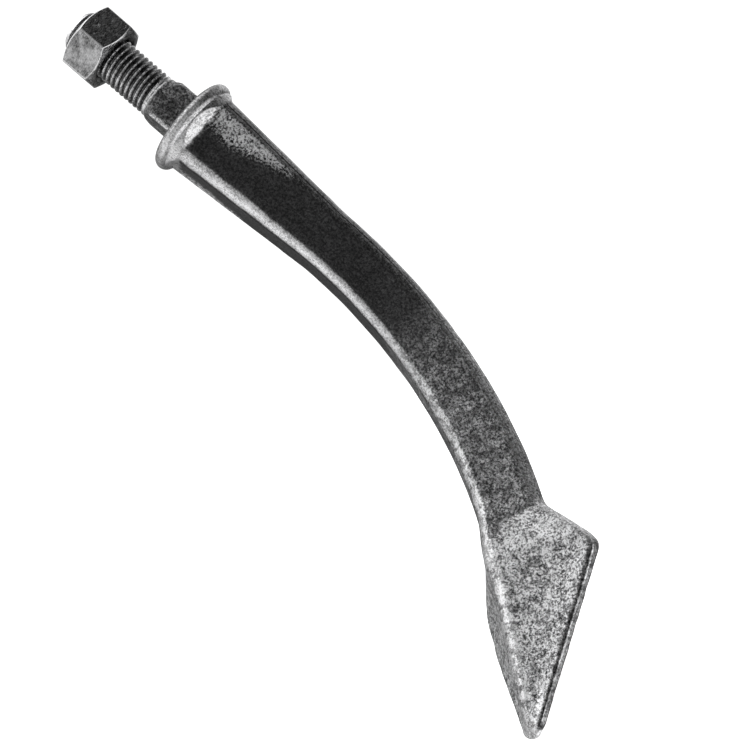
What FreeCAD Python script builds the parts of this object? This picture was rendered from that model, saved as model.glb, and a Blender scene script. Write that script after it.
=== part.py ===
"""Bolt-on mixing tine: a one-piece forging with a threaded stud, and its hex nut.

Origin: centre of the collar's seat face, on the stud's axis. +Z runs up the stud, and the
tine hangs to -Z and curves towards +X. The part is symmetric about the XZ plane.
"""
import FreeCAD, Part
import math
import os

import Sketcher

Vector = FreeCAD.Vector
doc = FreeCAD.newDocument("mixing_tine")

# ---------------------------------------------------------------- driving dimensions, in mm
DIMENSIONS = {
    # M20 x 2.5 stud
    "thread_dia": 20.0,
    "thread_pitch": 2.5,
    "stud_top": 61.5,
    "stud_chamfer": 1.6,
    # square neck and round collar
    "neck_side": 20.0,
    "neck_round": 2.0,
    "neck_top": 16.0,
    "neck_cone": 4.0,
    "collar_dia": 45.0,
    "collar_thick": 6.4,
    # shank: a rounded square set on its corner, straight and then bent
    "side_top": 34.8,
    "side_bend": 26.2,
    "side_end": 26.0,
    "corner_share": 0.225,
    "straight_run": 78.0,
    "bend_radius": 172.0,
    "bend_angle": 56.0,
    "shoulder_angle": 50.8,
    # digging point, measured from the end of the bend
    "wing_run": 10.0,
    "wing_half": 32.2,
    "wing_drop": 7.5,
    "wing_ease": 6.0,
    "wing_fall": 1.5,
    "wing_round": 1.8,
    "ridge_rise": 18.0,
    "ridge_round": 5.0,
    "back_depth": 14.5,
    "back_round": 6.0,
    "tip_run": 74.9,
    "tip_half": 3.6,
    "tip_level": 11.4,
    "tip_ridge": 13.6,
    "tip_back": 8.4,
    "tip_round": 1.4,
    # hex nut, across flats 30
    "nut_flats": 30.0,
    "nut_height": 16.0,
    "nut_face_dia": 28.5,
    "nut_chamfer_angle": 30.0,
    "nut_clearance": 0.3,
    "nut_sink": 1.0,
    "nut_seat": 41.0,
    "nut_turn": 36.0,
}
ARC_SECTIONS = 4
# 60 degree thread groove: depth and half widths as shares of the pitch
GROOVE_DEPTH = 0.6134
GROOVE_MOUTH = 0.4375
GROOVE_ROOT = 0.0833
# how far a cut runs past the surface that it opens
OVERCUT = 0.05
# the neck's cone cut, carried past the corners at the same slope
CONE_REACH = 1.5
# plain length between the neck's cone and the first thread groove, in mm
THREAD_RUNOUT = 1.0
# a coordinate smaller than this lies on the axis
ON_AXIS = 1e-9

sheet = doc.addObject("Spreadsheet::Sheet", "dims")
for row, (alias, size) in enumerate(DIMENSIONS.items(), start=1):
    sheet.set(f"A{row}", alias)
    sheet.set(f"B{row}", str(size))
    sheet.setAlias(f"B{row}", alias)
doc.recompute()


def solve(expression):
    """The value that an expression on the sheet has now."""
    return float(sheet.evalExpression(expression.replace("dims.", "")))


# ---------------------------------------------------------------- sketch helpers
def origin_plane(body, role):
    return next(f for f in body.Origin.OriginFeatures if f.Role == role)


def new_sketch(body, name, role):
    sketch = body.newObject("Sketcher::SketchObject", name)
    sketch.AttachmentSupport = [(origin_plane(body, role), "")]
    sketch.MapMode = "FlatFace"
    return sketch


def bind(sketch, constraint, expression):
    """Add a dimension to a sketch and drive it from the sheet."""
    index = sketch.addConstraint(constraint)
    sketch.setExpression(f"Constraints[{index}]", expression)


def place_point(sketch, geometry, point, x, y):
    """Fix a point of the sketch at two coordinates given as expressions."""
    for kind, axis, expression in (("DistanceX", -2, x), ("DistanceY", -1, y)):
        size = solve(expression)
        if abs(size) < ON_AXIS:
            sketch.addConstraint(Sketcher.Constraint("PointOnObject", geometry, point, axis))
        elif size > 0:
            bind(sketch, Sketcher.Constraint(kind, -1, 1, geometry, point, size), expression)
        else:
            mirrored = Sketcher.Constraint(kind, geometry, point, -1, 1, -size)
            bind(sketch, mirrored, f"-({expression})")


def polygon(sketch, corners):
    """A closed outline of straight edges through corners given as pairs of expressions."""
    points = [Vector(solve(x), solve(y), 0) for x, y in corners]
    count = len(points)
    for i in range(count):
        sketch.addGeometry(Part.LineSegment(points[i], points[(i + 1) % count]), False)
    for i in range(count):
        sketch.addConstraint(Sketcher.Constraint("Coincident", i, 2, (i + 1) % count, 1))
    for i, (x, y) in enumerate(corners):
        place_point(sketch, i, 1, x, y)


def tangent_normal(first, second):
    """Angle of the outward normal of the outer tangent from one circle to the next."""
    (c1, r1), (c2, r2) = first, second
    along = c2 - c1
    return math.atan2(along.y, along.x) - math.acos((r1 - r2) / along.Length)


def kite(sketch, corners):
    """A four-cornered outline with rounded corners: each is (x, y, radius) as expressions.

    The arcs are geometry 0 to 3 and the edges 4 to 7, counter-clockwise from the ridge.
    """
    circles = [(Vector(solve(x), solve(y), 0), solve(r)) for x, y, r in corners]
    normals = [tangent_normal(circles[i], circles[(i + 1) % 4]) for i in range(4)]
    up = Vector(0, 0, 1)
    for i, (centre, radius) in enumerate(circles):
        start, end = normals[i - 1], normals[i]
        while end < start:
            end += 2 * math.pi
        sketch.addGeometry(Part.ArcOfCircle(Part.Circle(centre, up, radius), start, end), False)
    for i, (centre, radius) in enumerate(circles):
        after, after_radius = circles[(i + 1) % 4]
        outward = Vector(math.cos(normals[i]), math.sin(normals[i]), 0)
        edge = Part.LineSegment(centre + outward * radius, after + outward * after_radius)
        sketch.addGeometry(edge, False)
    for i in range(4):
        sketch.addConstraint(Sketcher.Constraint("Tangent", i, 2, 4 + i, 1))
        sketch.addConstraint(Sketcher.Constraint("Tangent", 4 + i, 2, (i + 1) % 4, 1))
    for i, (x, y, radius) in enumerate(corners):
        bind(sketch, Sketcher.Constraint("Radius", i, solve(radius)), radius)
        place_point(sketch, i, 3, x, y)


def rounded_square(sketch, side, rounding):
    """A square set on its corner, its corners rounded."""
    core = f"({side} / 2 - {rounding}) * sqrt(2)"
    kite(sketch, [(core, "0", rounding), ("0", core, rounding),
                  (f"-({core})", "0", rounding), ("0", f"-({core})", rounding)])


# ---------------------------------------------------------------- the forging
tine = doc.addObject("PartDesign::Body", "tine_forging")
tine.Label = "tine_forging"


def section(name, angle, beyond):
    """A sketch square to the centreline: after `angle` degrees of bend, `beyond` mm further on."""
    sketch = new_sketch(tine, name, "XY_Plane")
    turn = f"({angle}) * 1 deg"
    x = f"dims.bend_radius * (1 - cos({turn})) + ({beyond}) * sin({turn})"
    z = f"-dims.straight_run - dims.bend_radius * sin({turn}) - ({beyond}) * cos({turn})"
    rotation = FreeCAD.Rotation(Vector(0, 1, 0), -solve(angle))
    sketch.AttachmentOffset = FreeCAD.Placement(Vector(solve(x), 0, solve(z)), rotation)
    sketch.setExpression("AttachmentOffset.Base.x", x)
    sketch.setExpression("AttachmentOffset.Base.z", z)
    sketch.setExpression("AttachmentOffset.Rotation.Yaw", "0")
    sketch.setExpression("AttachmentOffset.Rotation.Pitch", f"-({angle})")
    sketch.setExpression("AttachmentOffset.Rotation.Roll", "0")
    return sketch


def shank_section(name, angle, beyond, side):
    sketch = section(name, angle, beyond)
    rounded_square(sketch, f"({side})", f"({side}) * dims.corner_share")
    return sketch


def point_section(name, beyond, ridge, ridge_round, half, level, edge_round, back, back_round):
    """A section of the digging point: ridge on +X, a wing each side, and the back."""
    sketch = section(name, "dims.bend_angle", beyond)
    reach = f"{half} - {edge_round}"
    kite(sketch, [(f"{ridge} - {ridge_round}", "0", ridge_round),
                  (level, reach, edge_round),
                  (f"{back} + {back_round}", "0", back_round),
                  (level, f"-({reach})", edge_round)])
    return sketch


# stud and collar, turned about the stud's axis
turned = new_sketch(tine, "StudAndCollarOutline", "XZ_Plane")
flat_edge = "dims.collar_dia / 2 - dims.collar_thick / 2"
polygon(turned, [
    ("0", "-dims.collar_thick"),
    (flat_edge, "-dims.collar_thick"),
    (flat_edge, "0"),
    ("dims.thread_dia / 2", "0"),
    ("dims.thread_dia / 2", "dims.stud_top - dims.stud_chamfer"),
    ("dims.thread_dia / 2 - dims.stud_chamfer", "dims.stud_top"),
    ("0", "dims.stud_top"),
])
stud = tine.newObject("PartDesign::Revolution", "StudAndCollar")
stud.Profile = turned
stud.ReferenceAxis = (turned, ["V_Axis"])
stud.Angle = 360

# the collar's half-round rim
rim_outline = new_sketch(tine, "RimOutline", "XZ_Plane")
rim_radius = solve("dims.collar_thick / 2")
rim_centre = Vector(solve(flat_edge), -rim_radius, 0)
rim_circle = Part.Circle(rim_centre, Vector(0, 0, 1), rim_radius)
rim_outline.addGeometry(Part.ArcOfCircle(rim_circle, -math.pi / 2, math.pi / 2), False)
rim_top, rim_bottom = rim_centre + Vector(0, rim_radius, 0), rim_centre - Vector(0, rim_radius, 0)
rim_outline.addGeometry(Part.LineSegment(rim_top, rim_bottom), False)
rim_outline.addConstraint(Sketcher.Constraint("Coincident", 0, 2, 1, 1))
rim_outline.addConstraint(Sketcher.Constraint("Coincident", 1, 2, 0, 1))
rim_outline.addConstraint(Sketcher.Constraint("PointOnObject", 0, 3, 1))
bind(rim_outline, Sketcher.Constraint("Radius", 0, rim_radius), "dims.collar_thick / 2")
place_point(rim_outline, 0, 3, flat_edge, "-dims.collar_thick / 2")
rim_outline.addConstraint(Sketcher.Constraint("Vertical", 1))
rim = tine.newObject("PartDesign::Revolution", "CollarRim")
rim.Profile = rim_outline
rim.ReferenceAxis = (rim_outline, ["V_Axis"])
rim.Angle = 360

# square neck, its corners in line with the ridge and the wings, coned down to the thread
neck_outline = new_sketch(tine, "NeckOutline", "XY_Plane")
rounded_square(neck_outline, "dims.neck_side", "dims.neck_round")
neck = tine.newObject("PartDesign::Pad", "Neck")
neck.Profile = neck_outline
neck.setExpression("Length", "dims.neck_top")

cone_outline = new_sketch(tine, "NeckConeOutline", "XZ_Plane")
neck_corner = "((dims.neck_side / 2 - dims.neck_round) * sqrt(2) + dims.neck_round)"
cone_reach = f"({neck_corner} - dims.thread_dia / 2) * {CONE_REACH}"
polygon(cone_outline, [
    ("dims.thread_dia / 2", "dims.neck_top"),
    (f"dims.thread_dia / 2 + {cone_reach}", f"dims.neck_top - dims.neck_cone * {CONE_REACH}"),
    (f"dims.thread_dia / 2 + {cone_reach}", f"dims.neck_top + {OVERCUT}"),
    ("dims.thread_dia / 2", f"dims.neck_top + {OVERCUT}"),
])
neck_cone = tine.newObject("PartDesign::Groove", "NeckCone")
neck_cone.Profile = cone_outline
neck_cone.ReferenceAxis = (cone_outline, ["V_Axis"])
neck_cone.Angle = 360

# shank: straight and tapered, then bent
taper = "(dims.side_bend - dims.side_top) / dims.straight_run"
shank_sections = [
    shank_section("ShankRoot", "0", "dims.collar_thick / 2 - dims.straight_run", "dims.side_top"),
    shank_section("ShankHalfway", "0", "-dims.straight_run / 2",
                  f"dims.side_top + {taper} * dims.straight_run / 2"),
    shank_section("ShankBendStart", "0", "0", "dims.side_bend"),
]
for step in range(1, ARC_SECTIONS + 1):
    shank_sections.append(shank_section(
        f"ShankBend{step}",
        f"dims.shoulder_angle * {step} / {ARC_SECTIONS}",
        "0",
        f"dims.side_bend + (dims.side_end - dims.side_bend) * {step} / {ARC_SECTIONS}",
    ))
shank = tine.newObject("PartDesign::AdditiveLoft", "Shank")
shank.Profile = shank_sections[0]
shank.Sections = shank_sections[1:]

# digging point: the section spreads into two wings, blunt at their corners, and narrows to the tip
first_run = "(dims.wing_run - dims.wing_ease)"
ridge_slope = f"(dims.tip_ridge - dims.ridge_rise) / (dims.tip_run - {first_run})"
point_sections = []
for name, offset, fall in (("WingUpper", "-dims.wing_ease", "dims.wing_fall"),
                           ("WingCorner", "0", "0"),
                           ("WingLower", "dims.wing_ease", "dims.wing_fall")):
    run = f"(dims.wing_run + ({offset}))"
    point_sections.append(point_section(
        name, run, f"(dims.ridge_rise + {ridge_slope} * ({run} - {first_run}))", "dims.ridge_round",
        f"(dims.wing_half - {fall})", f"-(dims.wing_drop - {fall})", "dims.wing_round",
        "-dims.back_depth", "dims.back_round"))
point_sections.append(point_section(
    "Tip", "dims.tip_run", "dims.tip_ridge", "dims.tip_round", "dims.tip_half", "dims.tip_level",
    "dims.tip_round", "dims.tip_back", "dims.tip_round"))
point = tine.newObject("PartDesign::AdditiveLoft", "Point")
point.Profile = shank_sections[-1]
point.Sections = point_sections
point.Ruled = True

# thread
groove = new_sketch(tine, "ThreadGroove", "XZ_Plane")
crest = "dims.thread_dia / 2"
depth = f"dims.thread_pitch * {GROOVE_DEPTH}"
mouth = f"(dims.thread_pitch * {GROOVE_MOUTH} + {OVERCUT})"
root = f"dims.thread_pitch * {GROOVE_ROOT}"
above = "dims.stud_top + dims.thread_pitch"
polygon(groove, [
    (f"{crest} + {OVERCUT}", f"{above} - {mouth}"),
    (f"{crest} + {OVERCUT}", f"{above} + {mouth}"),
    (f"{crest} - {depth}", f"{above} + {root}"),
    (f"{crest} - {depth}", f"{above} - {root}"),
])
thread = tine.newObject("PartDesign::SubtractiveHelix", "Thread")
thread.Profile = groove
thread.ReferenceAxis = (groove, ["V_Axis"])
thread.Mode = 0
thread.setExpression("Pitch", "dims.thread_pitch")
thread.setExpression("Height", f"{above} - dims.neck_top - {THREAD_RUNOUT}")
thread.Reversed = True
tine.Tip = thread

# ---------------------------------------------------------------- the hex nut


def primitive(kind, name, **expressions):
    """A Part primitive whose sizes are bound to the sheet."""
    shape = doc.addObject(f"Part::{kind}", name)
    for attribute, expression in expressions.items():
        shape.setExpression(attribute, expression)
    return shape


chamfer_growth = "dims.nut_height / tan(dims.nut_chamfer_angle * 1 deg)"
hexagon = primitive("Prism", "NutHexagon", Circumradius="dims.nut_flats / sqrt(3)",
                    Height="dims.nut_height")
hexagon.Polygon = 6
lower_cone = primitive("Cone", "NutLowerChamfer", Height="dims.nut_height",
                       Radius1="dims.nut_face_dia / 2",
                       Radius2=f"dims.nut_face_dia / 2 + {chamfer_growth}")
upper_cone = primitive("Cone", "NutUpperChamfer", Height="dims.nut_height",
                       Radius1=f"dims.nut_face_dia / 2 + {chamfer_growth}",
                       Radius2="dims.nut_face_dia / 2")
blank = doc.addObject("Part::MultiCommon", "NutBlank")
blank.Shapes = [hexagon, lower_cone, upper_cone]

bore_radius = "(dims.thread_dia / 2 + dims.nut_clearance)"
bore = primitive("Cylinder", "NutBore", Radius=bore_radius, Height="dims.nut_height")
lower_sink = primitive("Cone", "NutLowerSink", Height="dims.nut_sink",
                       Radius1=f"{bore_radius} + dims.nut_sink", Radius2=bore_radius)
upper_sink = primitive("Cone", "NutUpperSink", Height="dims.nut_sink", Radius1=bore_radius,
                       Radius2=f"{bore_radius} + dims.nut_sink")
upper_sink.setExpression("Placement.Base.z", "dims.nut_height - dims.nut_sink")
hollow = doc.addObject("Part::MultiFuse", "NutHollow")
hollow.Shapes = [bore, lower_sink, upper_sink]

nut = doc.addObject("Part::Cut", "hex_nut")
nut.Base = blank
nut.Tool = hollow
nut.Label = "hex_nut"
nut.setExpression("Placement.Base.z", "dims.nut_seat")
nut.setExpression("Placement.Rotation.Yaw", "dims.nut_turn")

# ---------------------------------------------------------------- check and write
doc.recompute()
for item in doc.Objects:
    if "Invalid" in item.State or "Error" in item.State:
        raise RuntimeError(f"{item.Name} failed: {item.State}")

os.makedirs("parts", exist_ok=True)
for piece in (tine, nut):
    shape = piece.Shape
    if shape.isNull() or not shape.isValid():
        raise RuntimeError(f"{piece.Label} has no valid shape")
    if len(shape.Solids) != 1:
        raise RuntimeError(f"{piece.Label} has {len(shape.Solids)} solids")
    shape.exportStep(f"parts/{piece.Label}.step")
    box = shape.BoundBox
    print(piece.Label, round(shape.Volume), "mm3", [round(v, 2) for v in (
        box.XMin, box.XMax, box.YMin, box.YMax, box.ZMin, box.ZMax)])
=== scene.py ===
"""Visual model of the bolt-on mixing tine: a one-piece forging and its hex nut.

Shapes are worked out in millimetres and put in Blender in metres. The frame is the CAD's:
origin at the centre of the collar's seat, +Z up the stud, and the tine curving towards +X.
The digging point has its ridge on the inner side of the bend and its wings to +Y and -Y.
"""
import math
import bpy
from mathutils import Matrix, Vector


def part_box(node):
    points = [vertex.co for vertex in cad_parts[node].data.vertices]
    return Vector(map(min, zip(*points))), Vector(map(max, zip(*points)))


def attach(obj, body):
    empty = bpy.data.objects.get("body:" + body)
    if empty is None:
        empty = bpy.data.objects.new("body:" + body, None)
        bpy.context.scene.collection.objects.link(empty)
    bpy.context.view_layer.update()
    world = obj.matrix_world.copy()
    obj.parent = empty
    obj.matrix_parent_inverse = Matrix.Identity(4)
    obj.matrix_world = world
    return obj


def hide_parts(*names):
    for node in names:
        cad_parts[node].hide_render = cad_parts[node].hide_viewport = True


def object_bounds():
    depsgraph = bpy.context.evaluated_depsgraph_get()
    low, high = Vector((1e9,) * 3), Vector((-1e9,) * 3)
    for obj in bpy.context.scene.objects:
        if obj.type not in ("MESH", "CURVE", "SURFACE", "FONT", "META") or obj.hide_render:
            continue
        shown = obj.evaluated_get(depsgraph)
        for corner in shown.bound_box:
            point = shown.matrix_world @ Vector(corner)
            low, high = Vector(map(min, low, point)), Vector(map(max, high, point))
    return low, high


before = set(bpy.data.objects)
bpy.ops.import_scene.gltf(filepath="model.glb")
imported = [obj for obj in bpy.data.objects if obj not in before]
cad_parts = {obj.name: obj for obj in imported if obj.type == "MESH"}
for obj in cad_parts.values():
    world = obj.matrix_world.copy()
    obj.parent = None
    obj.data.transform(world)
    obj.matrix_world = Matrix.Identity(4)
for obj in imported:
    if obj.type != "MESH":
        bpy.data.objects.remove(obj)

from types import SimpleNamespace

import bpy
import numpy as np
from mathutils import Matrix, Vector, noise

CAD_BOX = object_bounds()
MM = 0.001

# ---------------------------------------------------------------- sizes, in millimetres
THREAD_R, PITCH, THREAD_DEPTH = 10.0, 2.5, 1.53
# half widths of the thread's flats at its root and its crest
ROOT_FLAT, CREST_FLAT = 0.2, 0.17
STUD_TOP, STUD_CHAMFER = 61.5, 1.6

NECK_SIDE, NECK_ROUND, NECK_TOP, NECK_CONE = 20.0, 2.2, 16.0, 4.0
# the cone starts higher on -Y than on +Y, as if the blank lay a little off centre
NECK_LEAN = 1.2
# how softly the cone's edge with the neck is rounded
CONE_BLUNT = 0.12

COLLAR_R, COLLAR_THICK = 22.5, 6.4
# radii of the rings of points on the collar's lower and upper faces
COLLAR_LOW_RINGS, COLLAR_TOP_RINGS = (8.0, 14.0, 17.0), (15.0, 7.0)
# the fillet under the collar: its length, how gently it starts, and how far inside the rim it ends
FILLET_RUN, FILLET_EASE, FILLET_INSET = 4.8, 1.2, 1.5
# the fillet dies out between these places on the -Y side
FILLET_SIDE = (-16, -9)

# the centreline: straight, then one arc, then straight to the tip
STRAIGHT, BEND_R, BEND = 78.0, 172.0, math.radians(56.0)
BEND_END = STRAIGHT + BEND_R * BEND
SHOULDER, WING, TIP = BEND_END - 15.6, BEND_END + 9.6, BEND_END + 74.7
TIP_ROUND = 4.4

# the rounded square of the shank, at the collar, at the bend and at the shoulder
SIDE_RUNS, SIDES = (COLLAR_THICK / 2, STRAIGHT, SHOULDER), (34.8, 26.2, 26.0)
CORNER_SHARE = 0.225

# the digging point
WING_HALF, WING_BLUNT, TIP_HALF = 34.5, 3.7, 3.6
WING_LEVEL, TIP_LEVEL = -7.5, 11.4
# the -Y wing's corner lies this much nearer the tip than the other
WING_LAG = 5.5
# how softly the shank's side runs into the wing
SHOULDER_BLUNT = 0.9
# the point's pitted faces start in a V, this long and this far to each side
V_START, V_LENGTH, V_REACH = SHOULDER + 3, 11.0, 16.0

NUT_FLATS, NUT_FACE_R, NUT_BORE_R, NUT_SINK = 30.0, 14.25, 10.3, 1.5
NUT_TURN = math.radians(36.0)
# how far the nut's chamfers are worked out, their slope, and how wide its end faces' inner ring is
NUT_CHAMFER_HEIGHT, NUT_CHAMFER_SLOPE, NUT_RING = 2.4, math.radians(30), 3.0
# how softly the nut's corners and the edges of its chamfers are rounded
NUT_CORNER_BLUNT, NUT_CHAMFER_BLUNT = 0.28, 0.16

# ---------------------------------------------------------------- small tools


def smooth(start, end, x):
    """0 before start, 1 after end, smooth between; the two may be in either order."""
    t = np.clip((np.asarray(x, float) - start) / (end - start), 0, 1)
    return t * t * (3 - 2 * t)


def mesh_object(name, points, faces):
    """A mesh object from points in millimetres."""
    mesh = bpy.data.meshes.new(name)
    mesh.from_pydata((np.asarray(points) * MM).tolist(), [], faces)
    obj = bpy.data.objects.new(name, mesh)
    bpy.context.scene.collection.objects.link(obj)
    return obj


def set_mask(obj, name, values):
    """Store a value from 0 to 1 at each point for the materials to read."""
    layer = obj.data.attributes.new(name, "FLOAT", "POINT")
    layer.data.foreach_set("value", np.clip(values, 0, 1).astype(np.float32))


def ring_faces(rings, around, closed=False):
    """Quads between rings of points; the ends are capped, or joined up when closed."""
    faces = []
    for i in range(rings if closed else rings - 1):
        a, b = i * around, (i + 1) % rings * around
        for j in range(around):
            k = (j + 1) % around
            faces.append((a + j, a + k, b + k, b + j))
    if not closed:
        faces.append(tuple(reversed(range(around))))
        faces.append(tuple(range((rings - 1) * around, rings * around)))
    return faces


def ripple(points, size, seed):
    """Smooth noise between about -1 and 1 at each point; size is its grain in millimetres."""
    shift = Vector((17.3, 5.1, 9.7)) * seed
    return np.array([noise.noise(Vector(p) / size + shift) for p in points])


def soft_least(a, b, blunt):
    """The lesser of two, rounded where they cross."""
    return -blunt * np.logaddexp(-a / blunt, -b / blunt)


# ---------------------------------------------------------------- the centreline


def centreline(run):
    """Centre (x, z) and heading at distances along the tine from the collar's seat."""
    turn = np.clip((run - STRAIGHT) / BEND_R, 0, BEND)
    beyond = np.maximum(run - BEND_END, 0)
    x = BEND_R * (1 - np.cos(turn)) + beyond * np.sin(turn)
    z = -np.minimum(run, STRAIGHT) - BEND_R * np.sin(turn) - beyond * np.cos(turn)
    return x, z, turn


def local_of(points):
    """(run, rise, side, turn) of points: along the tine, to the ridge, to +Y, and heading."""
    x, y, z = points.T
    turn = np.clip(np.arctan2(-(z + STRAIGHT), BEND_R - x), 0, BEND)
    dx = x - BEND_R * (1 - np.cos(turn))
    dz = z + STRAIGHT + BEND_R * np.sin(turn)
    along = dx * np.sin(turn) - dz * np.cos(turn)
    rise = dx * np.cos(turn) + dz * np.sin(turn)
    return STRAIGHT + BEND_R * turn + along, rise, y, turn


# ---------------------------------------------------------------- the shank and the point


def corner_reach(side, rounding):
    """Distance from the centre to the rounded corner of a square."""
    return (side / 2 - rounding) * math.sqrt(2) + rounding


def section_sizes(run, lag=0.0):
    """The section's sizes along the tine, each an array as long as run.

    lag moves the wing's corner towards the tip; the shoulder and the tip stay in place.
    """
    side = np.interp(run, SIDE_RUNS, SIDES)
    rounding = side * CORNER_SHARE
    reach = corner_reach(side, rounding)
    end_reach = corner_reach(SIDES[-1], SIDES[-1] * CORNER_SHARE)
    lagged = run - lag * smooth(SHOULDER, WING + lag, run) * smooth(TIP, WING + lag, run)

    rising = end_reach + (WING_HALF - end_reach) * (lagged - SHOULDER) / (WING - SHOULDER)
    falling = WING_HALF + (TIP_HALF - WING_HALF) * (lagged - WING) / (TIP - WING)
    wing = soft_least(rising, falling, WING_BLUNT)
    half = np.where(lagged < WING, -soft_least(-reach, -wing, SHOULDER_BLUNT), wing)

    def table(*pairs, along=lagged):
        """A size given at some runs, smoothed."""
        runs, sizes = zip(*pairs)
        return sum(np.interp(along + shift, runs, sizes) for shift in (-3, -1.5, 0, 1.5, 3)) / 5

    # how far the ridge stands proud of the shank's corner, and how much sharper it is
    ridge = table((SHOULDER - 8, 0), (SHOULDER, 0.2), (SHOULDER + 12, 1.9), (WING - 5, 1.8),
                  (WING, 0.5), (WING + 14, -0.5), (TIP, -2.6), along=run)
    ridge_sharper = table((SHOULDER - 10, 0), (WING, -0.6), (TIP, -3.6), along=run)
    edge_sharper = table((SHOULDER - 6, 0), (SHOULDER + 6, -0.4), (WING - 8, -0.6), (WING - 1, -3.0),
                         (WING + 4, -4.7), (TIP, -4.9))
    # the trimmed flash: a faint line on the shank and a real lip beyond the wing's corner
    lip = table((0, 0.12), (60, 0.2), (140, 0.1), (WING - 1, 0.08), (WING + 5, 1.3), (TIP - 8, 1.0),
                (TIP, 0.3))
    ragged = 1 + 0.22 * ripple(np.stack([run, 0 * run, 0 * run], 1), 2.2, 5)
    return {
        "ridge": reach + ridge,
        "ridge_r": ridge_sharper + rounding,
        "half": half,
        "level": table((SHOULDER - 2, 0), (WING, WING_LEVEL), (TIP, TIP_LEVEL)),
        "edge_r": edge_sharper + rounding,
        "hollow": table((0, 0.2), (SHOULDER, 0.25), (SHOULDER + 12, 0.6), (WING + 2, 1.6),
                        (TIP - 20, 0.9), (TIP, 0.1)),
        "wall": table((0, 1.5), (SHOULDER, 1.5), (WING, 2.3), (TIP, 1.7)),
        "back": table((SHOULDER - 4, 0), (WING, 1.6), (TIP, 24.4), along=run) - reach,
        "back_r": table((SHOULDER, 0), (TIP, -4.2), along=run) + rounding,
        "lip": lip * ragged,
        "lip_t": table((0, 1.4), (SHOULDER, 1.4), (WING, 1.8), (TIP, 1.5)),
    }


def tangent_normal(h1, y1, r1, h2, y2, r2):
    """Angle of the outward normal of the outer tangent from one circle to the next."""
    lean = np.arccos((r1 - r2) / np.hypot(h2 - h1, y2 - y1))
    return np.arctan2(y2 - y1, h2 - h1) % (2 * math.pi) - lean


# the flash's outline: height in half thicknesses, and share of how far it stands out
LIP_STEPS = ((1.15, 0.0), (1.05, 0.35), (0.95, 0.8), (0.8, 1.0), (0.4, 1.0), (0.0, 1.0))


def half_section(sizes):
    """Points (rise, side) of the +Y half of every section, from the ridge to the back."""
    ridge_c = sizes["ridge"] - sizes["ridge_r"]
    back_c = sizes["back"] + sizes["back_r"]
    edge_r, flat = sizes["edge_r"], sizes["half"] - sizes["lip"]
    side_c = flat - edge_r
    near_c, far_c = sizes["level"] + sizes["wall"] / 2, sizes["level"] - sizes["wall"] / 2
    near = tangent_normal(ridge_c, 0, sizes["ridge_r"], near_c, side_c, edge_r)
    far = tangent_normal(far_c, side_c, edge_r, back_c, 0, sizes["back_r"])
    zero, columns = 0 * near, []

    def arc(h, y, radius, first, last, steps):
        """A round stretch about (h, y) between two angles."""
        for t in np.linspace(0, 1, steps):
            angle = first + (last - first) * t
            columns.append((h + radius * np.cos(angle), y + radius * np.sin(angle)))

    def face_to(h, y, normal, hollow, steps):
        """A face from the last point to the next, hollowed a little."""
        h0, y0 = columns[-1]
        for t in np.linspace(0, 1, steps + 2)[1:-1]:
            inward = hollow * 4 * t * (1 - t)
            columns.append((h0 + (h - h0) * t - inward * np.cos(normal),
                            y0 + (y - y0) * t - inward * np.sin(normal)))

    arc(ridge_c, zero, sizes["ridge_r"], zero, near, 11)
    face_to(near_c + edge_r * np.cos(near), side_c + edge_r * np.sin(near), near,
            sizes["hollow"], 24)
    arc(near_c, side_c, edge_r, near, zero + math.pi / 2, 9)
    for sign, steps in ((1, LIP_STEPS), (-1, LIP_STEPS[-2::-1])):
        for offset, share in steps:
            columns.append((sizes["level"] + sign * offset * sizes["lip_t"] / 2,
                            flat + share * sizes["lip"]))
    arc(far_c, side_c, edge_r, zero + math.pi / 2, far, 9)
    face_to(back_c + sizes["back_r"] * np.cos(far), sizes["back_r"] * np.sin(far), far, zero, 18)
    arc(back_c, zero, sizes["back_r"], far, zero + math.pi, 8)
    return np.stack([c[0] for c in columns], 1), np.stack([c[1] for c in columns], 1)


def shank_runs():
    """Distances along the tine at which it has a section, from the tip up to the collar."""
    fillet_end = COLLAR_THICK + FILLET_RUN
    stretches = ((COLLAR_THICK - 3, fillet_end, 22), (fillet_end, SHOULDER - 4, 200),
                 (SHOULDER - 4, WING + 6, 60), (WING + 6, TIP - TIP_ROUND, 80))
    runs = [np.linspace(start, end, steps)[:-1] for start, end, steps in stretches]
    round_end = np.sin(np.linspace(0, math.radians(84), 10))
    runs.append(TIP - TIP_ROUND * (1 - round_end))
    return np.concatenate(runs)[::-1]


def make_shank():
    """The swept shank and digging point, with its fillet under the collar."""
    runs = shank_runs()
    sizes = section_sizes(runs)
    rise, side = half_section(sizes)
    other_rise, other_side = half_section(section_sizes(runs, WING_LAG))
    rise = np.concatenate([rise, other_rise[:, -2:0:-1]], 1)
    side = np.concatenate([side, -other_side[:, -2:0:-1]], 1)

    # the fillet flares the section out to the collar's underside
    left = np.maximum(COLLAR_THICK + FILLET_RUN - runs, 0)
    flare = (np.hypot(left, FILLET_EASE) - FILLET_EASE)[:, None] * smooth(*FILLET_SIDE, side)
    radius = np.hypot(rise, side)
    grown = np.maximum(np.minimum(radius + flare, COLLAR_R - FILLET_INSET), radius)
    rise, side = rise * grown / radius, side * grown / radius

    # the tip is closed with a rounded end
    into = np.clip((runs - TIP + TIP_ROUND) / TIP_ROUND, 0, 1)
    shrink = np.sqrt(1 - into ** 2)[:, None]
    middle = sizes["level"][:, None]
    rise, side = middle + (rise - middle) * shrink, side * shrink

    x, z, turn = centreline(runs)
    px = x[:, None] + rise * np.cos(turn)[:, None]
    pz = z[:, None] + rise * np.sin(turn)[:, None]
    points = np.stack([px, side, pz], 2).reshape(-1, 3)
    return mesh_object("shank", points, ring_faces(len(runs), rise.shape[1]))


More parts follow.
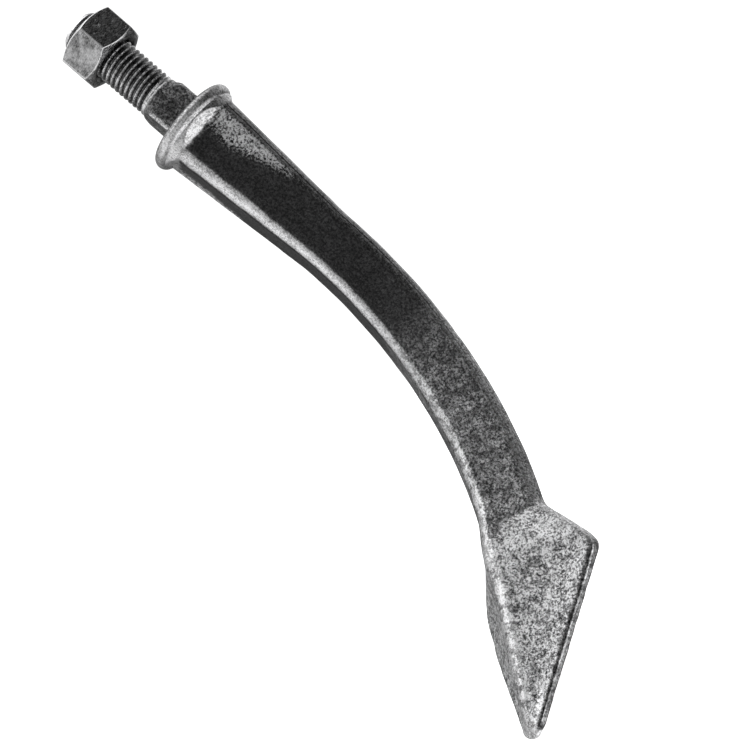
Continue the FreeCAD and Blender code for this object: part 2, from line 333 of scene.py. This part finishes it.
# ---------------------------------------------------------------- the stud, neck and collar


def make_collar():
    """The collar: a disc with a round rim, its upper face the seat."""
    rim = COLLAR_THICK / 2
    outline = [(radius, -COLLAR_THICK) for radius in COLLAR_LOW_RINGS]
    for angle in np.linspace(-math.pi / 2, math.pi / 2, 21):
        outline.append((COLLAR_R - rim + rim * math.cos(angle), -rim + rim * math.sin(angle)))
    outline += [(radius, 0.0) for radius in COLLAR_TOP_RINGS]
    angles = np.linspace(0, 2 * math.pi, 180, endpoint=False)
    points = [(r * math.cos(a), r * math.sin(a), h) for r, h in outline for a in angles]
    return mesh_object("collar", points, ring_faces(len(outline), len(angles)))


def square_outline(angles):
    """Distance from the axis to the rounded square neck, which has a corner on each axis."""
    off = np.abs((angles + math.pi / 4) % (math.pi / 2) - math.pi / 4)
    flat = NECK_SIDE / 2 / np.cos(math.pi / 4 - off)
    core = (NECK_SIDE / 2 - NECK_ROUND) * math.sqrt(2)
    reach = NECK_ROUND * math.sin(math.pi / 4)
    corner = core * np.cos(off) + np.sqrt(np.maximum(NECK_ROUND ** 2 - (core * np.sin(off)) ** 2, 0))
    return np.where(off < math.atan2(reach, core + reach), corner, flat)


def make_neck():
    """The square neck, coned down to just inside the thread's crests."""
    angles = np.linspace(0, 2 * math.pi, 240, endpoint=False)
    outline = square_outline(angles)
    slope = (outline.max() - THREAD_R) / NECK_CONE
    top_r = THREAD_R - 0.1
    heights = np.concatenate([[-2.0], np.linspace(0, NECK_TOP, 60)])
    points = []
    for height in heights:
        cone = top_r + slope * (NECK_TOP - height) - NECK_LEAN * np.sin(angles)
        radii = soft_least(outline, np.maximum(cone, top_r), CONE_BLUNT)
        points += [(r * math.cos(a), r * math.sin(a), height) for r, a in zip(radii, angles)]
    return mesh_object("neck", points, ring_faces(len(heights), len(angles)))


def thread_radius(height, angle):
    """Radius of a right-hand thread's surface."""
    phase = (height / PITCH - angle / (2 * math.pi)) % 1
    from_root = np.abs(phase - 0.5) * PITCH
    climb = np.clip((from_root - ROOT_FLAT) / (PITCH / 2 - ROOT_FLAT - CREST_FLAT), 0, 1)
    return THREAD_R - THREAD_DEPTH * (1 - climb)


def make_stud():
    """The threaded stud; its thread fades in above the neck and is worn away at the end."""
    angles = np.linspace(0, 2 * math.pi, 144, endpoint=False)
    chamfer = STUD_TOP - STUD_CHAMFER
    heights = np.concatenate([np.arange(NECK_TOP - 3, chamfer, PITCH / 24),
                              np.linspace(chamfer, STUD_TOP, 16)])
    height, angle = np.meshgrid(heights, angles, indexing="ij")
    fade = smooth(NECK_TOP - 0.5, NECK_TOP + 3.5, height)
    fade *= smooth(STUD_TOP - 1.2, STUD_TOP - 3.4, height)
    radius = THREAD_R + (thread_radius(height, angle) - THREAD_R) * fade
    radius = np.minimum(radius, THREAD_R - (height - chamfer))
    points = np.stack([radius * np.cos(angle), radius * np.sin(angle), height], 2).reshape(-1, 3)
    return mesh_object("stud", points, ring_faces(len(heights), len(angles)))


# ---------------------------------------------------------------- the nut


def make_nut():
    """The hex nut, chamfered at both ends, with a plain countersunk bore."""
    low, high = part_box("hex_nut")
    bottom, top = low[2] / MM, high[2] / MM
    height = top - bottom
    angles = np.linspace(0, 2 * math.pi, 720, endpoint=False)
    from_middle = (angles - NUT_TURN) % (math.pi / 3) - math.pi / 6
    flat = NUT_FLATS / 2 / np.cos(from_middle)
    next_flat = NUT_FLATS / 2 / np.cos(math.pi / 3 - np.abs(from_middle))
    hexagon = soft_least(flat, next_flat, NUT_CORNER_BLUNT)
    growth = 1 / math.tan(NUT_CHAMFER_SLOPE)
    chamfered = np.linspace(0, NUT_CHAMFER_HEIGHT, 28)
    middle = np.linspace(NUT_CHAMFER_HEIGHT, height - NUT_CHAMFER_HEIGHT, 20)[1:-1]
    rings, edge_wear_and_highlight = [], []
    for level in np.concatenate([chamfered, middle, height - chamfered[::-1]]):
        cone = NUT_FACE_R + min(level, height - level) * growth
        rings.append((soft_least(hexagon, cone, NUT_CHAMFER_BLUNT), bottom + level))
        # edges are rubbed bright at the corners and where the chamfer meets the flats, and the lighter
        # colour there is also a painted highlight
        at_corner = smooth(1.0, 0.2, next_flat - flat) * (cone > hexagon)
        edge_wear_and_highlight.append(np.maximum(at_corner, smooth(0.55, 0.1, np.abs(cone - hexagon))))
    for radius, level in ((NUT_BORE_R + NUT_RING, top), (NUT_BORE_R + NUT_SINK, top),
                          (NUT_BORE_R, top - NUT_SINK), (NUT_BORE_R, bottom + NUT_SINK),
                          (NUT_BORE_R + NUT_SINK, bottom), (NUT_BORE_R + NUT_RING, bottom)):
        rings.append((radius + 0 * angles, level))
        edge_wear_and_highlight.append(0 * angles)
    points = [(r * math.cos(a), r * math.sin(a), h) for radii, h in rings for r, a in zip(radii, angles)]
    body = mesh_object("nut_body", points, ring_faces(len(rings), len(angles), closed=True))
    radii = np.concatenate([radii for radii, _ in rings])
    set_mask(body, "edge", np.concatenate(edge_wear_and_highlight))
    set_mask(body, "bore", smooth(NUT_BORE_R + NUT_RING, NUT_BORE_R + NUT_SINK, radii))
    return body


# ---------------------------------------------------------------- joining, unevenness and masks


def union(name, pieces):
    """One closed mesh from overlapping closed meshes."""
    base = pieces[0]
    for other in pieces[1:]:
        join = base.modifiers.new("join", "BOOLEAN")
        join.operation, join.solver, join.object = "UNION", "MANIFOLD", other
    evaluated = base.evaluated_get(bpy.context.evaluated_depsgraph_get())
    joined = bpy.data.objects.new(name, bpy.data.meshes.new_from_object(evaluated))
    bpy.context.scene.collection.objects.link(joined)
    for piece in pieces:
        bpy.data.objects.remove(piece)
    return joined


def vectors_of(obj, what):
    """The mesh's "co" or "normal" vectors, one row for each point."""
    flat = np.empty(len(obj.data.vertices) * 3)
    obj.data.vertices.foreach_get(what, flat)
    return flat.reshape(-1, 3)


def survey(tine):
    """Where each point of the forging lies: along, up, to the side, and on the point or not."""
    points = vectors_of(tine, "co") / MM
    run, rise, side, turn = local_of(points)
    at = SimpleNamespace(points=points, normals=vectors_of(tine, "normal"), height=points[:, 2],
                         rise=rise, side=np.abs(side), turn=turn)
    at.below = smooth(0.0, -3.0, at.height)
    at.run = np.where(at.height > -1, 0, run)
    at.sizes = section_sizes(at.run, np.where(points[:, 1] < 0, WING_LAG, 0.0))
    at.flat = at.sizes["half"] - at.sizes["lip"]
    start = V_START + V_LENGTH * (1 - np.minimum(at.side / V_REACH, 1))
    at.on_point = smooth(-3.6, 3.2, at.run - start + 3.0 * ripple(points, 4, 4))
    return at


# the forging's unevenness, in millimetres: grain and height of its lumps, and an even swelling
LUMPS, SMALL_LUMPS, SWELL = (14, 0.16), (5, 0.09), 0.04


def press_lumps(tine, at):
    """Press the forging's unevenness into everything below the seat."""
    grain, height = LUMPS
    small_grain, small_height = SMALL_LUMPS
    lumps = height * ripple(at.points, grain, 1)
    lumps += small_height * ripple(at.points, small_grain, 2) * (0.6 + at.on_point)
    moved = at.points + at.normals * ((lumps + SWELL) * at.below)[:, None]
    tine.data.vertices.foreach_set("co", (moved * MM).ravel())
    tine.data.update()


# where things are absent and where they are full, in millimetres along the tine
SHANK_FROM, LOWER_SHANK = (COLLAR_THICK + 3.2, COLLAR_THICK + 5.5), (118, 158)
FLECKS_NARROW, FLECKS_END, FLECKS_DENSE = (16, 70), (74, 56), (40, 14)
CORNER_PASSED, FRESH_AND_LIT_END, PITS_END = (WING - 1, WING + 4), (WING + 6, WING - 9), (TIP - 1, TIP - 8)
# the same, in millimetres out from the middle
RIDGE_SIDE, POINT_RIDGE_SIDE = (8, 5.5), (4.2, 2.8)
COLLAR_WORN, COLLAR_GROUND = (9, 17), (8, 16)
THREAD_ROOT = (THREAD_R - 0.15, THREAD_R - 0.95)
# the same, in degrees that the surface is turned from the ridge's direction
RIDGE_TURN, EDGE_TURN, EDGE_FAR_TURN = (28, 17), (58, 66), (124, 116)


def tine_masks(at):
    """Where the collar, the shank and the point are worn, ground, pitted or flecked, and where shade and
    light are painted.
    """
    to_ridge = at.normals[:, 0] * np.cos(at.turn) + at.normals[:, 2] * np.sin(at.turn)
    facing = np.degrees(np.arctan2(np.abs(at.normals[:, 1]), to_ridge))
    across = at.side / at.sizes["half"]
    in_shank = smooth(*SHANK_FROM, at.run + 0.6 * ripple(at.points, 3, 7))
    collar = (1 - in_shank) * at.below
    beyond_corner = smooth(*CORNER_PASSED, at.run)
    wander = 4 * ripple(at.points, 9, 3)
    spread = 8 * at.on_point

    # rubbed along the ridge, and in flecks on the near faces under the collar
    ridge = smooth(*RIDGE_TURN, facing + wander - spread) * smooth(*RIDGE_SIDE, at.side) * in_shank
    point_ridge = at.on_point * smooth(*POINT_RIDGE_SIDE, at.side + 0.05 * wander) * (at.rise > 0)
    ridge = np.maximum(ridge, point_ridge)
    flecked_from = 0.50 + 0.42 * smooth(*FLECKS_NARROW, at.run)
    flecked = smooth(0, 0.3, across - flecked_from + 0.02 * wander) * smooth(0.99, 0.95, across)
    flecked *= smooth(*FLECKS_END, at.run) * (at.rise > 0) * in_shank

    # ground along the parting line, down to the wing's corner; beyond it the flash, with painted shade
    # in the groove inside it
    edge = smooth(*EDGE_TURN, facing + 1.6 * spread) * smooth(*EDGE_FAR_TURN, facing)
    edge *= in_shank * (1 - beyond_corner)
    flash = smooth(0.15, 0.5, (at.side - at.flat) / at.sizes["lip"]) * beyond_corner
    # painted shade: a dark line in the groove between the point's face and the flash
    groove_shade = 0.85 * smooth(-1.0, -0.3, at.side - at.flat) * beyond_corner * (1 - flash)

    collar_worn = collar * (0.95 - 0.3 * smooth(*COLLAR_WORN, at.side))
    pitted = at.on_point * (1 - edge) * (1 - ridge) * (1 - flash) * smooth(*PITS_END, at.run)
    return {
        "worn": np.max([ridge, flecked, 0.8 * flash, collar_worn], 0),
        "speckled": flecked * smooth(0.45, 0.9, across + 0.12 * smooth(*FLECKS_DENSE, at.run)),
        "ground": np.maximum(edge, collar * smooth(*COLLAR_GROUND, at.side)),
        "pitted": pitted,
        "shaded": groove_shade,
        "lower": smooth(*LOWER_SHANK, at.run + 8 * ripple(at.points, 9, 8)),
        # the point's upper part: fewer pits, and a painted highlight
        "fresh_and_lit": at.on_point * smooth(*FRESH_AND_LIT_END, at.run),
        "across": across * at.on_point,
        "forged": at.below,
    }


def stud_masks(at):
    """Where the neck's corners are worn, and where shade is painted in the thread's roots."""
    neck = smooth(-1, 0.5, at.height) * smooth(NECK_TOP + 1, NECK_TOP - 1, at.height)
    axial = np.maximum(np.abs(at.normals[:, 0]), np.abs(at.normals[:, 1]))
    corner = neck * smooth(0.84, 0.97, axial + 0.05 * ripple(at.points, 2.5, 6))
    in_thread = (at.height > NECK_TOP - 1) * (at.height < STUD_TOP - STUD_CHAMFER)
    axis_distance = np.hypot(at.points[:, 0], at.points[:, 1])
    return {
        "worn": 0.8 * corner,
        # painted shade in the thread's roots
        "shaded": smooth(*THREAD_ROOT, axis_distance) * in_thread,
        "neck": neck,
        "threaded": smooth(NECK_TOP - 1, NECK_TOP + 1, at.height),
    }


def finish_forging(tine):
    """Make the forging uneven and store its masks."""
    at = survey(tine)
    press_lumps(tine, at)
    masks = tine_masks(at)
    for name, values in stud_masks(at).items():
        masks[name] = np.maximum(masks.get(name, 0), values)
    for name, values in masks.items():
        set_mask(tine, name, values)


# ---------------------------------------------------------------- materials


class Tree:
    """Small helper to write a node tree as calls."""

    def __init__(self, owner):
        owner.use_nodes = True
        self.tree = owner.node_tree
        self.tree.nodes.clear()

    def add(self, kind, inputs=(), out=0, **settings):
        """A node with its inputs linked or set; gives one of its outputs."""
        node = self.tree.nodes.new("ShaderNode" + kind)
        for name, value in settings.items():
            setattr(node, name, value)
        for key, value in dict(inputs).items():
            if isinstance(value, bpy.types.NodeSocket):
                self.tree.links.new(value, node.inputs[key])
            else:
                node.inputs[key].default_value = value
        return node.outputs[out] if out is not None else node

    def math(self, operation, a, b=0.0, clamp=False):
        return self.add("Math", {0: a, 1: b}, operation=operation, use_clamp=clamp)

    def plus(self, a, b, clamp=False):
        return self.math("ADD", a, b, clamp)

    def times(self, a, b):
        return self.math("MULTIPLY", a, b)

    def most(self, a, b):
        return self.math("MAXIMUM", a, b)

    def less(self, value, share, depth=1.0, clamp=False):
        """The value, less this share of it times depth."""
        kept = self.math("SUBTRACT", 1.0, self.times(share, depth))
        return self.math("MULTIPLY", value, kept, clamp)

    def vary(self, value, swing, wave):
        """The value, swung up and down by a wave between -1 and 1."""
        return self.times(value, self.plus(1.0, self.times(swing, wave)))

    def remap(self, value, low, high, new_low=0.0, new_high=1.0, eased=True):
        """The value carried from one range to another and held at its ends."""
        return self.add("MapRange", {"Value": value, "From Min": low, "From Max": high,
                                     "To Min": new_low, "To Max": new_high},
                        interpolation_type="SMOOTHSTEP" if eased else "LINEAR")

    def mask(self, name):
        return self.add("Attribute", out="Fac", attribute_name=name)

    def noise(self, coords, scale, detail=3.0, rough=0.55, twist=0.0):
        """Noise with so many waves to the metre."""
        return self.add("TexNoise", {"Vector": coords, "Scale": scale, "Detail": detail,
                                     "Roughness": rough, "Distortion": twist}, out="Fac")

    def mix(self, factor, a, b):
        return self.add("Mix", {0: factor, 2: a, 3: b}, data_type="FLOAT")

    def grey(self, level, blue=1.0):
        """A grey, bluer where blue is over 1."""
        return self.add("CombineColor", {0: level, 1: level, 2: self.times(level, blue)})

    def steel(self, colour, metallic, rough, bump):
        """The metal's shader, joined to the output."""
        shader = self.add("BsdfPrincipled", {"Base Color": colour, "Metallic": metallic,
                                             "Roughness": rough, "Normal": bump})
        self.add("OutputMaterial", {"Surface": shader}, out=None)


# steel is a little bluer than grey
STEEL_BLUE = 1.01
# grains of the noise on the forging and on the nut, in waves to the metre
PATCHES, BLOTCHES, MOTTLE, GRAIN = 60, 270, 1050, 2200
PIT_COVER, PIT_WORMS, PIT_DOTS = 300, 820, 1600
NUT_CLOUD, NUT_NICKS, NUT_SCUFF, NUT_GRAIN = 190, 330, 620, 2000
# how clean the metal is in each place, with painted shade and light on the point, and the colours for 0
# and 1
CLEAN_AND_PAINTED_LIGHT = SimpleNamespace(upper=0.062, lower=0.27, neck=0.22, point_shaded_middle=0.56, point_lit_edge=0.74,
                        painted_light_extra=0.24, ground_upper=0.30, ground_lower=0.55, rubbed=0.85,
                        flecks=1.0, thread=1.0)
METAL_RANGE = (0.015, 0.90)


def pit_pattern(t, place):
    """Worm-like and round pits, thicker in some places than in others."""
    worms = t.noise(place, PIT_WORMS, 3, 0.55, 1.8)
    worms = t.remap(t.math("ABSOLUTE", t.math("SUBTRACT", worms, 0.5)), 0.008, 0.034, 1.0, 0.0)
    dots = t.remap(t.noise(place, PIT_DOTS, 2, 0.5, 0.6), 0.32, 0.42, 1.0, 0.0)
    cover = t.remap(t.noise(place, PIT_COVER, 3), 0.40, 0.60, 0.15, 1.0)
    return t.times(t.most(worms, dots), cover)


def forged_steel():
    """Forging scale, dark and mottled, worn bright along the ridge and pitted on the point."""
    mat = bpy.data.materials.new("forging_scale_and_bare_steel")
    t = Tree(mat)
    place = t.add("TexCoord", out="Object")
    ground, speckled, threaded = t.mask("ground"), t.mask("speckled"), t.mask("threaded")
    lower, neck, pitted, fresh_and_lit = t.mask("lower"), t.mask("neck"), t.mask("pitted"), t.mask("fresh_and_lit")

    patches = t.noise(place, PATCHES, 4)
    mottle = t.noise(place, MOTTLE, 5, 0.7)
    grain = t.noise(place, GRAIN, 3, 0.6)
    blotches = t.remap(t.noise(place, BLOTCHES, 3, 0.6, 0.5), 0.38, 0.62, -1.0, 1.0)
    rough_faces = t.most(t.most(lower, t.most(pitted, speckled)), neck)
    rough_faces = t.less(rough_faces, ground)
    pits = t.times(pit_pattern(t, place), rough_faces)
    pits = t.times(pits, t.mix(fresh_and_lit, 1.0, 0.75))

    # where scale is rubbed off in flecks, they lie closer together the more it is rubbed
    flecks = t.plus(t.noise(place, MOTTLE, 4, 0.7, 0.4), t.times(speckled, 0.15))
    flecks = t.remap(flecks, 0.52, 0.60)
    worn = t.times(t.mask("worn"), t.mix(t.remap(speckled, 0.0, 0.05), 1.0, flecks))

    # how clean the metal is: dark scale high on the shank, cleaner towards the point, where shade is
    # painted by the ridge and light towards the wings
    clean_and_painted_light = t.mix(lower, CLEAN_AND_PAINTED_LIGHT.upper, CLEAN_AND_PAINTED_LIGHT.lower)
    clean_and_painted_light = t.mix(neck, clean_and_painted_light, CLEAN_AND_PAINTED_LIGHT.neck)
    # painted shading across the point's faces: darker by the ridge, lighter towards the wings
    on_point = t.remap(t.mask("across"), 0.05, 0.6, CLEAN_AND_PAINTED_LIGHT.point_shaded_middle, CLEAN_AND_PAINTED_LIGHT.point_lit_edge)
    clean_and_painted_light = t.mix(pitted, clean_and_painted_light, on_point)
    # painted highlight on the point's upper part
    clean_and_painted_light = t.plus(clean_and_painted_light, t.times(fresh_and_lit, CLEAN_AND_PAINTED_LIGHT.painted_light_extra))
    clean_and_painted_light = t.mix(ground, clean_and_painted_light, t.mix(lower, CLEAN_AND_PAINTED_LIGHT.ground_upper, CLEAN_AND_PAINTED_LIGHT.ground_lower))
    clean_and_painted_light = t.mix(worn, clean_and_painted_light, t.mix(speckled, CLEAN_AND_PAINTED_LIGHT.rubbed, CLEAN_AND_PAINTED_LIGHT.flecks))
    clean_and_painted_light = t.mix(threaded, clean_and_painted_light, CLEAN_AND_PAINTED_LIGHT.thread)

    # unevenness at four scales, then painted shade in the flash's groove and the thread's roots, and
    # dark pits
    swing = t.plus(0.62, t.times(rough_faces, 0.20))
    swing = t.times(swing, t.mix(t.less(worn, speckled), 1.0, 0.6))
    clean_and_painted_light = t.vary(clean_and_painted_light, swing, t.remap(mottle, 0.40, 0.60, -1.0, 1.0))
    clean_and_painted_light = t.vary(clean_and_painted_light, t.plus(0.12, t.times(rough_faces, 0.36)), blotches)
    clean_and_painted_light = t.times(clean_and_painted_light, t.remap(grain, 0.38, 0.62, 0.68, 1.32))
    clean_and_painted_light = t.times(clean_and_painted_light, t.remap(patches, 0.3, 0.7, 0.85, 1.15))
    # painted shade in the flash's groove and the thread's roots
    clean_and_painted_light = t.less(clean_and_painted_light, t.mask("shaded"), 0.82)
    clean_and_painted_light = t.less(clean_and_painted_light, pits, 0.94, clamp=True)
    colour = t.grey(t.remap(clean_and_painted_light, 0.0, 1.0, *METAL_RANGE, eased=False), STEEL_BLUE)

    rough = t.mix(worn, 0.50, 0.34)
    rough = t.mix(ground, rough, 0.38)
    rough = t.mix(threaded, rough, 0.27)
    rough = t.plus(rough, t.remap(grain, 0.3, 0.7, -0.07, 0.09))
    rough = t.plus(rough, t.times(pits, 0.15), clamp=True)

    height = t.plus(t.times(mottle, 0.6), t.times(grain, 0.2))
    height = t.math("SUBTRACT", height, t.times(pits, 0.9))
    soft = t.times(t.mix(ground, 1.0, 0.3), t.mix(worn, 1.0, 0.6))
    strength = t.times(soft, t.mix(t.mask("forged"), 0.4, 0.9))
    bump = t.add("Bump", {"Strength": strength, "Distance": 0.0004, "Height": height})
    # flecks shine softly, like bead-blasted metal
    metallic = t.less(1.0, t.times(speckled, flecks), 0.8)
    t.steel(colour, metallic, rough, bump)
    return mat


def nut_steel():
    """Plain steel, cloudy and scuffed, with its edges rubbed bright and painted as highlights, and its
    bore dark.
    """
    mat = bpy.data.materials.new("scuffed_nut_steel")
    t = Tree(mat)
    place = t.add("TexCoord", out="Object")
    stretched = t.add("Mapping", {"Vector": place, "Scale": (1.0, 1.0, 5.0)})
    cloud = t.noise(place, NUT_CLOUD, 4, 0.6)
    scuff = t.noise(stretched, NUT_SCUFF, 5, 0.75)
    grain = t.noise(place, NUT_GRAIN, 2)
    nicks = t.remap(t.noise(place, NUT_NICKS, 3, 0.6, 0.8), 0.58, 0.66)

    level = t.plus(0.43, t.remap(cloud, 0.34, 0.66, -0.20, 0.24))
    level = t.plus(level, t.remap(scuff, 0.36, 0.64, -0.20, 0.22))
    level = t.math("SUBTRACT", level, t.times(nicks, 0.16))
    # edges lighter: rubbed bright, and a painted highlight
    level = t.mix(t.times(t.mask("edge"), 0.8), level, 0.95)
    level = t.less(level, t.mask("bore"), 0.92, clamp=True)
    rough = t.plus(0.24, t.remap(scuff, 0.3, 0.7, -0.05, 0.14))
    height = t.plus(t.times(scuff, 0.5), t.times(grain, 0.1))
    height = t.math("SUBTRACT", height, t.times(nicks, 0.5))
    bump = t.add("Bump", {"Strength": 0.6, "Distance": 0.00015, "Height": height})
    t.steel(t.grey(level, STEEL_BLUE), 1.0, rough, bump)
    return mat


# ---------------------------------------------------------------- the two pieces
# faces that meet at more than this stay sharp
SHARP_ANGLE = math.radians(38)


def dress(obj, material, body, node):
    """Shade a piece, give it its material and its body, and hide the CAD node that it stands for."""
    obj.data.materials.clear()
    obj.data.materials.append(material)
    obj.data.shade_smooth()
    obj.data.set_sharp_from_angle(angle=SHARP_ANGLE)
    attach(obj, body)
    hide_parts(node)


tine = union("tine_body", [make_shank(), make_collar(), make_neck(), make_stud()])
finish_forging(tine)
dress(tine, forged_steel(), "tine", "tine_forging")
nut = make_nut()
dress(nut, nut_steel(), "nut", "hex_nut")

# ---------------------------------------------------------------- camera, in metres
CAMERA_TURN, CAMERA_ROLL = math.radians(37.36), math.radians(49.23)
CAMERA_DISTANCE, CAMERA_LENS = 0.4998, 60.12
CAMERA_TARGET = Vector((0.04865, 0, -0.13192))


def make_camera():
    """A level camera, turned about Z and rolled so that the tine lies across the picture."""
    data = bpy.data.cameras.new("camera")
    data.lens = CAMERA_LENS
    camera = bpy.data.objects.new("camera", data)
    bpy.context.scene.collection.objects.link(camera)
    away = Vector((math.cos(CAMERA_TURN), math.sin(CAMERA_TURN), 0))
    level_view = away.to_track_quat("Z", "Y").to_matrix().to_4x4()
    roll = Matrix.Rotation(-CAMERA_ROLL, 4, "Z")
    camera.matrix_world = Matrix.Translation(CAMERA_TARGET + away * CAMERA_DISTANCE) @ level_view @ roll
    bpy.context.scene.camera = camera


# ---------------------------------------------------------------- floor, light and background
FLOOR_Z, FLOOR_HALF = CAD_BOX[0][2] - 0.004, 4
WHITE = (1, 1, 1, 1)

# strength of the room where it has no glow, and of the white behind the object
ROOM_DIM, BACKGROUND = 0.025, 1.2
# soft glows: direction, cosines of the angles where it starts and is full, strength
ROOM_GLOWS = (
    ((-0.1, 0.0, 1.0), 0.50, 0.93, 1.15),
    ((0.68, -0.73, 0.0), 0.80, 0.91, 0.54),
    ((0.62, -0.45, 0.64), 0.82, 0.95, 0.45),
    ((0.99, 0.14, 0.0), 0.89, 0.98, 0.60),
    ((0.25, -0.97, 0.0), 0.60, 0.95, 0.22),
    ((0.1, 0.1, -1.0), 0.50, 0.95, 1.45),
    ((0.64, 0.76, 0.0), 0.84, 0.95, 0.36),
    ((-0.79, 0.61, 0.05), 0.86, 0.97, 0.24),
    ((-0.98, 0.0, 0.17), 0.84, 0.97, 0.90),
    ((-0.70, -0.70, 0.12), 0.78, 0.97, 0.22),
)
# square area lights: name, direction, distance and size in metres, watts
SOFTBOXES = (
    ("key", (-0.1, 0.1, 1.0), 0.9, 0.6, 1.2),
    ("side", (0.80, -0.60, 0.03), 0.8, 0.3, 0.35),
)


def make_floor():
    """A plain pale floor, left out of the object's reflections."""
    corners = [(x * FLOOR_HALF / MM, y * FLOOR_HALF / MM, FLOOR_Z / MM)
               for x, y in ((-1, -1), (1, -1), (1, 1), (-1, 1))]
    floor = mesh_object("floor", corners, [(0, 1, 2, 3)])
    mat = bpy.data.materials.new("floor_white")
    t = Tree(mat)
    tone = t.remap(t.noise(t.add("TexCoord", out="Object"), 3), 0.3, 0.7, 0.93, 0.95)
    shader = t.add("BsdfPrincipled", {"Base Color": t.grey(tone), "Roughness": 0.9,
                                      "Emission Color": WHITE, "Emission Strength": 0.9})
    t.add("OutputMaterial", {"Surface": shader}, out=None)
    floor.data.materials.append(mat)
    floor.visible_glossy = False
    floor.visible_diffuse = False


def softbox(name, direction, distance, size, power):
    """A square area light facing the middle of the tine."""
    data = bpy.data.lights.new(name, "AREA")
    data.shape, data.size, data.energy = "SQUARE", size, power
    light = bpy.data.objects.new(name, data)
    direction = Vector(direction).normalized()
    place = Matrix.Translation(CAMERA_TARGET + direction * distance)
    light.matrix_world = place @ direction.to_track_quat("Z", "Y").to_matrix().to_4x4()
    bpy.context.scene.collection.objects.link(light)


def make_world():
    """White behind the object, and a dim room with soft bright sides for its reflections."""
    world = bpy.data.worlds.new("studio")
    bpy.context.scene.world = world
    t = Tree(world)
    direction = t.add("TexCoord", out="Generated")
    total = ROOM_DIM
    for middle, edge, heart, strength in ROOM_GLOWS:
        facing = t.add("VectorMath", {0: direction, 1: Vector(middle).normalized()}, out="Value",
                       operation="DOT_PRODUCT")
        total = t.plus(total, t.remap(facing, edge, heart, 0.0, strength))
    room = t.add("Background", {"Color": WHITE, "Strength": total})
    white = t.add("Background", {"Color": WHITE, "Strength": BACKGROUND})
    seen = t.add("LightPath", out="Is Camera Ray")
    both = t.add("MixShader", {0: seen, 1: room, 2: white})
    t.add("OutputWorld", {"Surface": both}, out=None)


make_camera()
make_floor()
make_world()
for box in SOFTBOXES:
    softbox(*box)
bpy.context.scene.view_settings.view_transform = "Standard"
